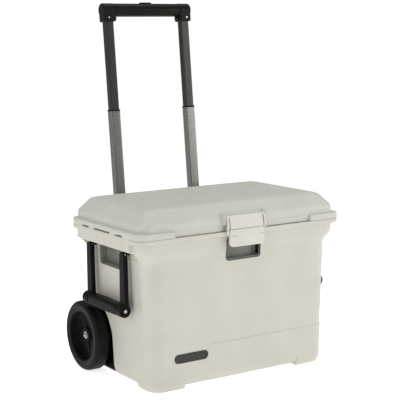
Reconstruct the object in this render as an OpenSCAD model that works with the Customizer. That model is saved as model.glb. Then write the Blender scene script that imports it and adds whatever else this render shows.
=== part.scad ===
// Wheeled hard cooler with a telescoping pull handle.
// X runs across the front, +Y points to the back and Z is up.
// The origin is on the ground, under the centre of the whole object's box.

/* [Body] */
// How far the rim band under the lid joint stands out at each side
rim_side = 18; // [8:1:30]
// How far the rim band stands out at the front and the back
rim_end = 4; // [2:0.5:15]
// Height of the joint between body and lid
seam_z = 404; // [360:1:470]
// Width of the body just under the rim band
body_w = 582; // [510:1:650]
// Depth of the body just under the rim band
body_d = 366; // [330:1:430]
// How much narrower the body is at its foot, on each side
side_draft = 11; // [0:0.5:20]
// How much shallower the body is at its foot, at front and back
end_draft = 4; // [0:0.5:12]
// Corner radius of the body in plan
body_r = 46; // [30:1:60]
// Corner radius of the rim band in plan
rim_r = 34; // [20:1:50]
// Height of the body's underside above the ground
ground_gap = 8; // [6:1:25]
// Height of the rounding along the bottom edge
bottom_round = 40; // [15:1:50]
// Wall of the outer shell
shell_t = 3.2; // [2.4:0.1:5]
// Height of the rim band under the lid joint
rim_h = 38; // [25:1:60]
// Height of the slope from the rim band to the body
rim_slope = 21; // [10:1:40]

/* [Flange and side mounts] */
// How far the flange stands out at the sides
flange_side = 13; // [6:0.5:20]
// How far the flange stands out at the front
flange_front = 8; // [4:0.5:14]
// Height of the body's half of the flange
flange_low_h = 12; // [8:0.5:20]
// Height of the lid's half of the flange
flange_high_h = 16; // [8:0.5:20]
// Corner radius of the flange in plan
flange_r = 30; // [18:1:45]
// Half length of the mount over each carry handle
ear_half = 142; // [120:1:150]
// Height of the mount's outer face below the flange
ear_h = 11; // [6:0.5:20]
// Height of the slope under the mount
ear_slope = 15; // [8:0.5:24]

/* [Inside] */
// Thickness of the insulated walls
wall_t = 32; // [24:1:45]
// Thickness of the insulated floor
floor_t = 38; // [24:1:50]
// Extra wall at the floor, from the draft of the liner
liner_draft = 8; // [6:0.5:14]
// Wall of the inner liner
liner_t = 2.5; // [2:0.1:4]
// Corner radius of the cavity in plan
liner_r = 24; // [20:1:50]

/* [Lid] */
// Height of the lid above the joint
lid_h = 72; // [50:1:90]
// Height of the lid's upright wall above the joint
lid_wall_h = 36; // [24:1:50]
// Run of the slope from the wall to the top, at the sides
lid_slope_x = 36; // [20:1:60]
// Run of the slope from the wall to the top, at front and back
lid_slope_y = 30; // [15:1:50]
// Wall of the lid skins
lid_t = 3; // [2.4:0.1:5]
// Depth of the plug under the lid that drops into the cavity
plug_h = 14; // [8:0.5:24]
// Gap round the plug
plug_gap = 4; // [2:0.5:8]
// Thickness of the lid seal
gasket_t = 5; // [3:0.5:8]

/* [Latch] */
// Width of the upper latch link
link_w = 122; // [90:1:150]
// Width of the lower latch lever
lever_w = 112; // [80:1:140]
// Thickness of the latch plates
latch_t = 7; // [5:0.5:10]
// Length of the lower lever below the joint
lever_h = 41; // [30:1:55]
// Radius of the latch pins
latch_pin_r = 2; // [1.5:0.1:3]

/* [Hand holds] */
// Width of the front finger recess
front_hold_w = 112; // [80:1:140]
// Height of the front finger recess below the joint
front_hold_low = 80; // [70:1:100]
// Depth of the finger recesses
hold_depth = 20; // [12:1:22]
// Width of each side hand hold
side_hold_w = 152; // [110:1:160]
// Height of each side hand hold
side_hold_h = 57; // [40:1:80]
// Wall of the recess liners
hold_t = 2.4; // [1.6:0.1:4]

/* [Carry handles] */
// Distance between the two arms of a carry handle
arm_pitch = 182; // [150:1:200]
// Width of an arm at the top
arm_w_top = 24; // [16:0.5:28]
// Width of an arm at the grip
arm_w_low = 29; // [18:0.5:34]
// Thickness of an arm
arm_t = 13; // [10:0.5:14]
// Distance of the carry handle pivot below the side mount
pivot_drop = 8; // [4:0.5:26]
// How far the pivot stands out from the body's side
pivot_stand = 17.5; // [12:0.5:25]
// Length from the pivot down to the grip's centre
arm_len = 147; // [100:1:160]
// Radius of the carry grip
grip_r = 17; // [13:0.5:20]
// Radius of the pivot pins
pivot_pin_r = 2; // [1.5:0.1:2.5]

/* [Wheels] */
// Outside radius of a wheel
wheel_r = 96; // [80:1:97]
// Width of a wheel
wheel_w = 47; // [34:1:55]
// How far a wheel's outer face stands out from the body's side
wheel_stand = 35; // [15:1:45]
// Distance of the axle in front of the body's back
axle_back = 52; // [45:1:85]
// Radius of the stub axles
axle_r = 6; // [5:0.5:9]
// Gap between the wheel and its well
well_gap = 8; // [5:0.5:14]

/* [Pull handle] */
// Backward lean of the pull handle in degrees
lean = 5.4; // [0:0.1:7]
// Distance behind the rim's back where the handle's line meets the ground
mast_stand = 28; // [21:1:40]
// Distance between the two legs
leg_pitch = 252; // [200:1:300]
// Width of the lower moving tube
low_tube_w = 30; // [22:0.5:34]
// Depth of the lower moving tube
low_tube_d = 24; // [16:0.5:26]
// Wall of the tubes
tube_t = 1.2; // [0.8:0.1:2]
// Sliding gap between tubes
tube_gap = 0.4; // [0.3:0.05:0.8]
// Length of the lower moving tubes
low_tube_len = 360; // [300:1:380]
// How far the lower tubes come out of their sockets
low_draw = 299; // [220:1:310]
// Length of the upper tubes
up_tube_len = 340; // [300:1:350]
// Distance from the lower tubes' top to the grip bar's centre
bar_draw = 288; // [220:1:300]
// Radius of the grip bar
bar_r = 19; // [15:0.5:22]
// Distance of the fixed sockets' top below the lid joint
socket_drop = 6; // [0:1:40]
// Travel of the release button
button_travel = 3; // [2:0.5:4]

/* [Drain] */
// Height of the drain's centre
drain_z = 62; // [55:1:80]
// Radius of the drain's bore
drain_r = 9; // [6:0.5:12]

/* [Fits] */
// Gap round a pin that turns
pin_gap = 0.05; // [0.02:0.01:0.1]
// Gap between pieces that pass each other
move_gap = 0.4; // [0.3:0.05:1]
// Gap between the lid and the body along the joint
seam_gap = 0.6; // [0.4:0.1:1.5]

/* [Hidden] */
$fn = 64;

// Colours
body_colour = "#d6d4ca";
lid_colour = "#d2d1c8";
foam_colour = "#efe3b0";
liner_colour = "#e9e9e6";
hold_colour = "#6c7169";
handle_colour = "#211d1b";
cap_colour = "#2b2c28";
tube_colour = "#54554f";
steel_colour = "#b9b9b6";
tyre_colour = "#141412";

// Overall sizes of the rim band
rim_w = body_w + 2 * rim_side;
rim_d = body_d + 2 * rim_end;

// Body levels
slope_z = seam_z - rim_h - rim_slope;
rim_z = seam_z - rim_h;
low_seam = seam_z - seam_gap;
ear_z = seam_z - flange_low_h - ear_h;
front_y = -rim_d / 2;
back_y = rim_d / 2;
flange_half = rim_w / 2 + flange_side;
flange_front_y = front_y - flange_front;
hold_top = seam_z - flange_low_h - 6;

// Cavity levels
cavity_w = body_w - 2 * wall_t;
cavity_d = body_d - 2 * wall_t;
floor_z = ground_gap + floor_t;
foam_top = seam_z - 6;

// Lid levels
lid_top = seam_z + lid_h;
slot_h = 5;
slot_depth = 10;
slot_mid = 44;
slot_near = 73;
slot_far = 110;
plug_w = cavity_w - 2 * plug_gap;
plug_d = cavity_d - 2 * plug_gap;
plug_r = liner_r - plug_gap;

// Latch places
latch_y = flange_front_y - 1;
latch_out = latch_y - latch_t;
link_pin_z = seam_z + 37;
link_pin_y = front_y - 5.5;
link_knuckle_r = 4.5;
lever_pin_y = latch_y - latch_t / 2;
lever_pin_z = seam_z + 2;
lever_knuckle_w = 44;
cheek_t = 4;
groove_half = 215;
groove_y = front_y - 3;

// Hinge of the lid
hinge_y = back_y + 9;
hinge_z = seam_z + 21;
hinge_r = 7;
hinge_pin_r = 2.5;
hinge_x = 190;
hinge_w = 60;
knuckle_w = 18;
knuckle_in = knuckle_w + move_gap;
lid_knuckle_w = hinge_w - 2 * knuckle_in;

// Carry handles
side_hold_top = rim_z - 4;
pivot_x = body_w / 2 + pivot_stand;
pivot_z = ear_z - ear_slope - pivot_drop;
grip_z = pivot_z - arm_len;
arm_y = arm_pitch / 2;
grip_x = pivot_x + 5.5;
grip_end = arm_y + arm_w_low / 2;
lug_r = arm_t / 2 - 1.9;
lug_w = 9;
grip_screw_r = 2.5;
grip_screw_in = 16;

// Pull handle
mast_y = rim_d / 2 + mast_stand;
leg_x = leg_pitch / 2;
socket_top = seam_z - socket_drop;
low_tube_top = socket_top + low_draw;
bar_s = low_tube_top + bar_draw;
up_tube_w = low_tube_w - 2 * tube_t - 2 * tube_gap;
up_tube_d = low_tube_d - 2 * tube_t - 2 * tube_gap;
socket_w = low_tube_w + 2 * tube_gap;
socket_d = low_tube_d + 2 * tube_gap;
socket_wall = 1.6;
cap_low_s = bar_s - 33;
cap_w = low_tube_w + 9;
cap_d = low_tube_d + 12;
collar_h = 5;
up_travel = cap_low_s - low_tube_top - collar_h - 4;
low_travel = low_tube_top - socket_top - 4;
low_tube_low = low_tube_top - low_tube_len;
up_tube_top = bar_s - 4;
socket_low = low_tube_low - low_travel - 6;
housing_top = socket_top - 4;
housing_half = leg_x + socket_w / 2 + socket_wall + 5;
bar_wall = 4;
cap_proud = 0.6;
button_len = 40;
button_w = 14;
cap_tab = 7;

// Wheels
wheel_out = body_w / 2 + wheel_stand;
axle_y = body_d / 2 - axle_back;
wheel_in = wheel_out - wheel_w;
well_x = wheel_in - 12;
well_r = wheel_r + well_gap;
carrier_t = 8;
liner_band_t = 3;
axle_in = well_x - shell_t - 2;
axle_out = wheel_out + 3;
tyre_in_r = wheel_r - 28;
tyre_round = 11;
hub_r = 20;
nut_out = wheel_out - 10;
nut_t = 5.6;
boss_out = nut_out - nut_t - move_gap - (wheel_out - wheel_w / 2);

// Drain
drain_y = -40;
drain_wall = 3;
drain_out = body_w / 2 - side_draft + 7;
drain_in = cavity_w / 2 - 60;

// Feet under the front corners
foot_w = 110;
foot_in_x = body_w / 2 - foot_w;
foot_len = 88;
foot_inset = 8;
foot_top_inset = 0.5;
foot_top = ground_gap + bottom_round * 0.4;

// Blank plate on the lower front
plate_x = -163;
plate_z = 84;
plate_w = 102;
plate_h = 24;
plate_t = 1.2;

// Lid seal
gasket_off = 6;
gasket_in = 2;

// The origin lies under the middle of the whole object's box
handle_back = mast_y + sin(lean) * bar_s + bar_r + cap_proud;
origin_y = (latch_out + handle_back) / 2;

// ---------- helpers ----------

// Puts a piece that is drawn about the body's middle into the object's frame
module in_frame() {
    translate([0, -origin_y, 0]) children();
}

// Draws a piece along the leaning line of the pull handle
module on_mast() {
    translate([0, mast_y, 0]) rotate([-lean, 0, 0]) children();
}

// A second piece on the other side
module both_sides() {
    children();
    mirror([1, 0, 0]) children();
}

// side is -1 for the left and 1 for the right of the object
module on_side(side) {
    mirror([side < 0 ? 1 : 0, 0, 0]) children();
}

// Points of a rectangle from (x0, y0) to (x1, y1) with round corners
function round_rect(x0, x1, y0, y1, r, n = 8) = [
    for (c = [[x1 - r, y1 - r, 0], [x0 + r, y1 - r, 90], [x0 + r, y0 + r, 180], [x1 - r, y0 + r, 270]])
        for (k = [0 : n])
            [c[0] + r * cos(c[2] + 90 * k / n), c[1] + r * sin(c[2] + 90 * k / n)]
];

// A flat slab with round corners, centred on X
module slab(w, y0, y1, r, z0, z1) {
    translate([0, 0, z0])
        linear_extrude(z1 - z0)
            polygon(round_rect(-w / 2, w / 2, y0, y1, r));
}

// A thin slice for hulls
module slice(w, d, r, z) {
    slab(w, -d / 2, d / 2, r, z, z + 0.1);
}

// The body's outer form, taken in by a wall of thickness t
module body_form(t) {
    base_w = body_w - 2 * side_draft;
    base_d = body_d - 2 * end_draft;
    hull() {
        slice(base_w - 2 * t - 24, base_d - 2 * t - 24, body_r - t - 10, ground_gap + t);
        slice(base_w - 2 * t - 10, base_d - 2 * t - 10, body_r - t - 4, ground_gap + t + bottom_round * 0.2);
        slice(base_w - 2 * t - 2, base_d - 2 * t - 2, body_r - t, ground_gap + t + bottom_round * 0.6);
        slice(base_w - 2 * t, base_d - 2 * t, body_r - t, ground_gap + t + bottom_round);
        slice(body_w - 2 * t, body_d - 2 * t, body_r - t, slope_z);
    }
}

// The slope that carries the body out to the rim band
module rim_form(t, top) {
    hull() {
        slice(body_w - 2 * t, body_d - 2 * t, body_r - t, slope_z);
        slice(rim_w - 2 * t, rim_d - 2 * t, rim_r - t, rim_z);
    }
    slab(rim_w - 2 * t, front_y + t, back_y - t, rim_r - t, rim_z, top);
}

// The cavity, grown by a wall of thickness t
module cavity_form(t, top) {
    hull() {
        slice(cavity_w - 2 * liner_draft - 20 + 2 * t, cavity_d - 2 * liner_draft - 20 + 2 * t,
            liner_r - 6 + t, floor_z - t);
        slice(cavity_w - 2 * liner_draft + 2 * t, cavity_d - 2 * liner_draft + 2 * t, liner_r + t,
            floor_z - t + 10);
        slice(cavity_w + 2 * t, cavity_d + 2 * t, liner_r + t, top);
    }
}

// The space that one wheel and its well take out of the body, grown by t
module well_half(t) {
    translate([well_x - t, axle_y, wheel_r]) rotate([0, 90, 0]) cylinder(h = 100, r = well_r + t);
    translate([well_x - t, axle_y - well_r - t, -1]) cube([100, 2 * well_r + 2 * t, wheel_r + 1]);
}

module well_form(t) {
    both_sides() well_half(t);
}

// A box that reaches in from the front for the finger recess, taken in by t
module front_hold_form(t) {
    w = front_hold_w - 2 * t;
    z0 = seam_z - front_hold_low + t;
    depth = hold_depth - t;
    translate([0, -body_d / 2 + depth, 0])
        rotate([90, 0, 0])
            linear_extrude(depth + 40)
                polygon(round_rect(-w / 2, w / 2, z0, hold_top - t, 9 - t));
}

// A box that reaches in from one side for a hand hold, taken in by t
module side_hold_form(t) {
    w = side_hold_w - 2 * t;
    depth = hold_depth - t;
    translate([body_w / 2 - depth - side_draft / 3, 0, 0])
        rotate([90, 0, 90])
            linear_extrude(depth + 40)
                polygon(round_rect(-w / 2, w / 2, side_hold_top - side_hold_h + t, side_hold_top - t, 9 - t));
}

// The whole outer form of the body without its flange, taken in by t
module body_outer(t) {
    body_form(t);
    rim_form(t, low_seam);
}

// The wall under the side mounts goes straight up, grown by t
module ear_relief(t) {
    both_sides()
        translate([body_w / 2 - t, -ear_half - t, slope_z - 1 - t])
            cube([60, 2 * ear_half + 2 * t, ear_z - ear_slope - slope_z + 1 + 2 * t]);
}

// A round hole or rod along X, at the axle
module axle_rod(r, x0, x1) {
    translate([x0, axle_y, wheel_r]) rotate([0, 90, 0]) cylinder(h = x1 - x0, r = r);
}

// A round hole or rod along X, at the drain
module drain_rod(r, x0, x1) {
    translate([x0, drain_y, drain_z]) rotate([0, 90, 0]) cylinder(h = x1 - x0, r = r);
}

// A rod along X at a place in the YZ plane
module cross_rod(r, x0, x1, y, z) {
    translate([x0, y, z]) rotate([0, 90, 0]) cylinder(h = x1 - x0, r = r);
}

// A rod along Y at a place in the XZ plane
module long_rod(r, y0, y1, x, z) {
    translate([x, y1, z]) rotate([90, 0, 0]) cylinder(h = y1 - y0, r = r);
}

// A plate across X with an outline in the YZ plane
module side_plate(x0, x1, points) {
    translate([x0, 0, 0]) rotate([90, 0, 90]) linear_extrude(x1 - x0) polygon(points);
}

// A box in the handle's own frame, centred on one leg or on the middle
module leg_box(x, w, d, s0, s1) {
    translate([x - w / 2, -d / 2, s0]) cube([w, d, s1 - s0]);
}

// A rectangular tube in the handle's own frame
module leg_tube(x, w, d, wall, s0, s1) {
    difference() {
        leg_box(x, w, d, s0, s1);
        leg_box(x, w - 2 * wall, d - 2 * wall, s0 - 1, s1 + 1);
    }
}

// ---------- body ----------

// The inside of the shell, which the foam fills
module shell_inside() {
    difference() {
        union() {
            body_form(shell_t);
            rim_form(shell_t, seam_z + 1);
        }
        well_form(shell_t);
        ear_relief(shell_t);
        front_hold_form(-shell_t);
        both_sides() side_hold_form(-shell_t);
    }
}

// The mount over a carry handle, under the flange
module side_ear() {
    translate([0, ear_half, 0])
        rotate([90, 0, 0])
            linear_extrude(2 * ear_half)
                polygon([
                    [body_w / 2 - 1, seam_z - flange_low_h],
                    [flange_half, seam_z - flange_low_h],
                    [flange_half, ear_z],
                    [flange_half - ear_slope, ear_z - ear_slope],
                    [body_w / 2 - 1, ear_z - ear_slope]
                ]);
}

module outer_shell() {
    in_frame() color(body_colour) difference() {
        union() {
            difference() {
                body_outer(0);
                ear_relief(0);
            }
            slab(2 * flange_half, flange_front_y, back_y, flange_r, seam_z - flange_low_h, low_seam);
            both_sides() side_ear();
        }
        shell_inside();
        well_form(0);
        front_hold_form(0);
        both_sides() side_hold_form(0);
        both_sides() axle_rod(axle_r, axle_in, axle_out);
        drain_rod(drain_r + drain_wall, drain_in, drain_out + 50);
    }
}

module body_foam() {
    in_frame() color(foam_colour) difference() {
        shell_inside();
        cavity_form(liner_t, seam_z + 2);
        translate([-500, -500, foam_top]) cube([1000, 1000, 50]);
        both_sides() axle_rod(axle_r, axle_in, axle_out);
        drain_rod(drain_r + drain_wall, drain_in, drain_out + 50);
    }
}

module inner_liner() {
    in_frame() color(liner_colour) difference() {
        union() {
            cavity_form(liner_t, foam_top);
            slab(rim_w - 2 * shell_t, front_y + shell_t, back_y - shell_t, rim_r - shell_t, foam_top, low_seam);
        }
        cavity_form(0, seam_z + 5);
        drain_rod(drain_r + drain_wall, drain_in, drain_out + 50);
    }
}

// The grey lining of the finger recess under the latch
module front_recess() {
    in_frame() color(hold_colour) difference() {
        intersection() {
            front_hold_form(0);
            body_outer(0);
        }
        front_hold_form(hold_t);
    }
}

// The grey lining of a hand hold in the side wall
module recess(side) {
    in_frame() color(hold_colour) on_side(side) difference() {
        intersection() {
            side_hold_form(0);
            body_form(0);
        }
        side_hold_form(hold_t);
    }
}

module left_recess() {
    recess(-1);
}

module right_recess() {
    recess(1);
}

// A slice of the body's outline at its foot, taken in by an inset
module foot_slice(inset, z) {
    slice(body_w - 2 * side_draft - 2 * inset, body_d - 2 * end_draft - 2 * inset, body_r - inset, z);
}

// A moulded foot that carries a front corner of the body down to the ground
module foot(side) {
    in_frame() color(body_colour) on_side(side) difference() {
        intersection() {
            hull() {
                foot_slice(foot_inset, 0);
                foot_slice(foot_inset / 3, ground_gap);
                foot_slice(foot_top_inset, foot_top);
            }
            translate([foot_in_x, -body_d / 2, -1]) cube([body_w / 2 - foot_in_x, foot_len, foot_top + 2]);
        }
        body_form(0);
    }
}

module left_foot() {
    foot(-1);
}

module right_foot() {
    foot(1);
}

// A blank plate that follows the front wall
module name_plate() {
    in_frame() color(handle_colour) intersection() {
        difference() {
            body_form(-plate_t);
            body_form(0);
        }
        translate([0, -body_d / 2 + 30, 0])
            rotate([90, 0, 0])
                linear_extrude(60)
                    polygon(round_rect(plate_x - plate_w / 2, plate_x + plate_w / 2,
                        plate_z - plate_h / 2, plate_z + plate_h / 2, plate_h / 2 - 1));
    }
}

// ---------- lid ----------

// The lid's outer form, taken in by a wall of thickness t
module lid_form(t, z0) {
    top_w = rim_w - 2 * lid_slope_x;
    top_d = rim_d - 2 * lid_slope_y;
    hull() {
        slice(rim_w - 2 * t, rim_d - 2 * t, rim_r - t, z0);
        slice(rim_w - 2 * t, rim_d - 2 * t, rim_r - t, seam_z + lid_wall_h - t / 2);
        slice(top_w + 10 - 2 * t, top_d + 10 - 2 * t, rim_r - t, lid_top - 4 - t);
        slice(top_w - 4 - 2 * t, top_d - 4 - 2 * t, rim_r - 6 - t, lid_top - 0.1 - t);
    }
}

// One of the two knuckles on the back of the lid, with its web
module lid_knuckle() {
    translate([hinge_x + hinge_w / 2 - knuckle_in, 0, 0]) {
        translate([-lid_knuckle_w, back_y - 1, hinge_z - hinge_r])
            cube([lid_knuckle_w, hinge_y - back_y + 1, 2 * hinge_r - 3]);
        cross_rod(hinge_r, -lid_knuckle_w, 0, hinge_y, hinge_z);
    }
}

module lid_shell() {
    in_frame() color(lid_colour) difference() {
        union() {
            lid_form(0, seam_z);
            slab(2 * flange_half, flange_front_y, back_y, flange_r, seam_z, seam_z + flange_high_h);
            both_sides() lid_knuckle();
        }
        lid_form(lid_t, seam_z - 1);
        translate([-groove_half, groove_y - 50, seam_z - 1]) cube([2 * groove_half, 50, flange_high_h + 2]);
        both_sides() lid_slots();
        both_sides() cross_rod(hinge_pin_r + pin_gap, hinge_x - 50, hinge_x + 50, hinge_y, hinge_z);
    }
}

// Three narrow gaps between the lid's flange and the body's, on one side
module lid_slots() {
    for (y = [[-slot_far, -slot_near], [-slot_mid, slot_mid], [slot_near, slot_far]])
        translate([flange_half - slot_depth, y[0], seam_z - 1])
            cube([slot_depth + 1, y[1] - y[0], slot_h + 1]);
}

module lid_foam() {
    in_frame() color(foam_colour) {
        difference() {
            lid_form(lid_t, seam_z);
            translate([-500, -500, seam_z - 50]) cube([1000, 1000, 50 + lid_t]);
        }
        slab(plug_w - 2 * lid_t, -plug_d / 2 + lid_t, plug_d / 2 - lid_t, plug_r - lid_t,
            seam_z - plug_h + lid_t, seam_z + lid_t + 1);
    }
}

module lid_inner_panel() {
    in_frame() color(liner_colour) difference() {
        union() {
            slab(rim_w - 2 * lid_t, front_y + lid_t, back_y - lid_t, rim_r - lid_t, seam_z, seam_z + lid_t);
            slab(plug_w, -plug_d / 2, plug_d / 2, plug_r, seam_z - plug_h, seam_z);
        }
        slab(plug_w - 2 * lid_t, -plug_d / 2 + lid_t, plug_d / 2 - lid_t, plug_r - lid_t,
            seam_z - plug_h + lid_t, seam_z + 10);
        gasket_ring(seam_z - 1, seam_z + gasket_in);
    }
}

// The ring that the lid's seal fills
module gasket_ring(z0, z1) {
    w = plug_w + 2 * gasket_off;
    d = plug_d + 2 * gasket_off;
    difference() {
        slab(w + 2 * gasket_t, -d / 2 - gasket_t, d / 2 + gasket_t, plug_r + gasket_off + gasket_t, z0, z1);
        slab(w, -d / 2, d / 2, plug_r + gasket_off, z0 - 1, z1 + 1);
    }
}

module lid_gasket() {
    in_frame() color("#8b8d8a") gasket_ring(seam_z - seam_gap / 2, seam_z + gasket_in);
}

// The fixed half of each lid hinge
module hinge_brackets() {
    in_frame() color(body_colour) both_sides() difference() {
        union() {
            translate([hinge_x - hinge_w / 2, back_y, seam_z - 34]) cube([hinge_w, 4, 32]);
            for (x = [hinge_x - hinge_w / 2, hinge_x + hinge_w / 2 - knuckle_w]) {
                side_plate(x, x + knuckle_w, [
                    [back_y + 3, seam_z - 34],
                    [hinge_y + hinge_r, seam_z - 12],
                    [hinge_y + hinge_r, hinge_z],
                    [hinge_y - hinge_r + 1, hinge_z],
                    [hinge_y - hinge_r + 1, seam_z - 3],
                    [back_y + 3, seam_z - 3]
                ]);
                cross_rod(hinge_r - 0.5, x, x + knuckle_w, hinge_y, hinge_z);
            }
        }
        cross_rod(hinge_pin_r, hinge_x - 50, hinge_x + 50, hinge_y, hinge_z);
    }
}

module hinge_pins() {
    in_frame() color(steel_colour) both_sides()
        cross_rod(hinge_pin_r, hinge_x - hinge_w / 2, hinge_x + hinge_w / 2, hinge_y, hinge_z);
}

// ---------- latch ----------

// Outline of the upper link, seen from the side
function link_outline() = [
    [link_pin_y - link_knuckle_r, link_pin_z],
    [link_pin_y - link_knuckle_r + 0.8, link_pin_z - 12],
    [lever_pin_y - latch_t / 2, lever_pin_z + 12],
    [lever_pin_y - latch_t / 2, lever_pin_z],
    [lever_pin_y + latch_t / 2, lever_pin_z],
    [lever_pin_y + latch_t / 2, lever_pin_z + 8],
    [link_pin_y + link_knuckle_r - 1.5, link_pin_z - 10],
    [link_pin_y + link_knuckle_r - 1, link_pin_z]
];

module latch_link() {
    in_frame() color(body_colour) difference() {
        union() {
            side_plate(-link_w / 2, link_w / 2, link_outline());
            cross_rod(link_knuckle_r, -link_w / 2, link_w / 2, link_pin_y, link_pin_z);
            cross_rod(latch_t / 2 - 0.2, -link_w / 2, link_w / 2, lever_pin_y, lever_pin_z);
        }
        translate([-lever_knuckle_w / 2 - move_gap, lever_pin_y - 20, lever_pin_z - 10])
            cube([lever_knuckle_w + 2 * move_gap, 40, 10 + latch_t / 2 + 1]);
        cross_rod(latch_pin_r + pin_gap, -link_w, link_w, link_pin_y, link_pin_z);
        cross_rod(latch_pin_r, -link_w, link_w, lever_pin_y, lever_pin_z);
    }
}

module latch_lever() {
    z_top = lever_pin_z - latch_t / 2 - 1;
    in_frame() color(body_colour) difference() {
        union() {
            translate([0, latch_y, 0])
                rotate([90, 0, 0])
                    linear_extrude(latch_t)
                        polygon(round_rect(-lever_w / 2, lever_w / 2, seam_z - lever_h, z_top, 3));
            cross_rod(latch_t / 2 - 0.2, -lever_knuckle_w / 2, lever_knuckle_w / 2, lever_pin_y, lever_pin_z);
            translate([-lever_knuckle_w / 2, lever_pin_y - latch_t / 2 + 0.6, z_top - 2])
                cube([lever_knuckle_w, latch_t - 1.2, lever_pin_z - z_top + 2]);
        }
        cross_rod(latch_pin_r + pin_gap, -link_w, link_w, lever_pin_y, lever_pin_z);
    }
}

module latch_top_pin() {
    in_frame() color(steel_colour)
        cross_rod(latch_pin_r, -link_w / 2 - cheek_t, link_w / 2 + cheek_t, link_pin_y, link_pin_z);
}

module latch_middle_pin() {
    in_frame() color(steel_colour)
        cross_rod(latch_pin_r, -link_w / 2 + 1, link_w / 2 - 1, lever_pin_y, lever_pin_z);
}

// The two cheeks on the lid that carry the link's top pin
module latch_mount() {
    in_frame() color(lid_colour) difference() {
        both_sides()
            side_plate(link_w / 2 + move_gap, link_w / 2 + move_gap + cheek_t, [
                [front_y + 8, seam_z + flange_high_h + 1],
                [link_pin_y - 1, seam_z + flange_high_h + 1],
                [link_pin_y - link_knuckle_r, link_pin_z - 5],
                [link_pin_y - link_knuckle_r, link_pin_z + 2],
                [link_pin_y - link_knuckle_r + 3, link_pin_z + 6],
                [front_y + 8, link_pin_z + 8]
            ]);
        lid_form(0, seam_z);
        cross_rod(latch_pin_r, -link_w, link_w, link_pin_y, link_pin_z);
    }
}

// ---------- carry handles ----------

// Outline of an arm, seen from the front: round at the pivot and flat below
module arm_front_outline() {
    translate([pivot_x, pivot_z]) circle(arm_t / 2);
    translate([pivot_x - arm_t / 2, grip_z]) square([arm_t, pivot_z - grip_z]);
}

// One arm of a carry handle: end is -1 for the front and 1 for the back
module arm(side, end) {
    inner = arm_w_low / 2;
    in_frame() color(handle_colour) on_side(side) mirror([0, end < 0 ? 1 : 0, 0]) difference() {
        union() {
            intersection() {
                translate([0, arm_y + 40, 0]) rotate([90, 0, 0]) linear_extrude(80) arm_front_outline();
                side_plate(pivot_x - 20, pivot_x + 20, [
                    [arm_y - inner, grip_z],
                    [arm_y + inner, grip_z],
                    [arm_y + arm_w_top / 2, pivot_z],
                    [arm_y + arm_w_top / 2, pivot_z + 10],
                    [arm_y - arm_w_top / 2, pivot_z + 10],
                    [arm_y - arm_w_top / 2, pivot_z]
                ]);
            }
            long_rod(grip_r, arm_y - inner, arm_y + inner, grip_x, grip_z);
        }
        translate([pivot_x - arm_t, arm_y - lug_w / 2 - move_gap, pivot_z - lug_r - 0.6])
            cube([arm_t + lug_r + 0.6, lug_w + 2 * move_gap, 20]);
        long_rod(pivot_pin_r, arm_y - 40, arm_y + 40, pivot_x, pivot_z);
        long_rod(grip_screw_r, arm_y - 40, arm_y + 40, grip_x, grip_z);
    }
}

// The two lugs that stand out of the side wall and carry a handle
module pivot_lugs(side) {
    in_frame() color(handle_colour) on_side(side) difference() {
        for (y = [-arm_y, arm_y])
            translate([0, y + lug_w / 2, 0])
                rotate([90, 0, 0])
                    linear_extrude(lug_w) {
                        translate([pivot_x, pivot_z]) circle(lug_r);
                        translate([body_w / 2, pivot_z - lug_r]) square([pivot_x - body_w / 2, 2 * lug_r]);
                    }
        for (y = [-arm_y, arm_y])
            long_rod(pivot_pin_r + pin_gap, y - 20, y + 20, pivot_x, pivot_z);
    }
}

module pivot_pins(side) {
    in_frame() color(steel_colour) on_side(side)
        for (y = [-arm_y, arm_y])
            long_rod(pivot_pin_r, y - arm_w_top / 2 + 1, y + arm_w_top / 2 - 1, pivot_x, pivot_z);
}

module carry_grip(side) {
    inner = arm_y - arm_w_low / 2;
    in_frame() color(handle_colour) on_side(side) difference() {
        long_rod(grip_r - 0.8, -inner, inner, grip_x, grip_z);
        for (y = [-inner - 1, inner - grip_screw_in])
            long_rod(grip_screw_r, y, y + grip_screw_in + 1, grip_x, grip_z);
    }
}

module grip_screws(side) {
    inner = arm_y - arm_w_low / 2;
    in_frame() color(steel_colour) on_side(side)
        for (m = [0, 1])
            mirror([0, m, 0]) {
                long_rod(grip_screw_r, inner - grip_screw_in, grip_end, grip_x, grip_z);
                long_rod(grip_screw_r + 2, grip_end, grip_end + 1.4, grip_x, grip_z);
            }
}

module left_pivot_lugs() {
    pivot_lugs(-1);
}

module right_pivot_lugs() {
    pivot_lugs(1);
}

module left_pivot_pins() {
    pivot_pins(-1);
}

module right_pivot_pins() {
    pivot_pins(1);
}

module left_front_arm() {
    arm(-1, -1);
}

module left_rear_arm() {
    arm(-1, 1);
}

module right_front_arm() {
    arm(1, -1);
}

module right_rear_arm() {
    arm(1, 1);
}

module left_grip() {
    carry_grip(-1);
}

module right_grip() {
    carry_grip(1);
}

module left_grip_screws() {
    grip_screws(-1);
}

module right_grip_screws() {
    grip_screws(1);
}

// ---------- pull handle ----------

// The housing's outer form in the handle's frame, taken in by t
module housing_form(t) {
    half = housing_half - t;
    back = socket_d / 2 + socket_wall + 3 - t;
    translate([-half, -100, socket_low - 6 + t])
        cube([2 * half, 100 + back, housing_top - socket_low + 6 - 2 * t]);
}

module mast_housing() {
    in_frame() color(cap_colour) difference() {
        on_mast() difference() {
            housing_form(0);
            housing_form(3);
            for (x = [-leg_x, leg_x])
                leg_box(x, socket_w + 2 * socket_wall, socket_d + 2 * socket_wall, socket_low, socket_top + 20);
        }
        body_outer(0);
    }
}

module socket(side) {
    in_frame() color(cap_colour) on_mast()
        leg_tube(side * leg_x, socket_w + 2 * socket_wall, socket_d + 2 * socket_wall, socket_wall,
            socket_low, socket_top);
}

module lower_tube(side) {
    in_frame() color(tube_colour) on_mast()
        leg_tube(side * leg_x, low_tube_w, low_tube_d, tube_t, low_tube_low, low_tube_top);
}

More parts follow.
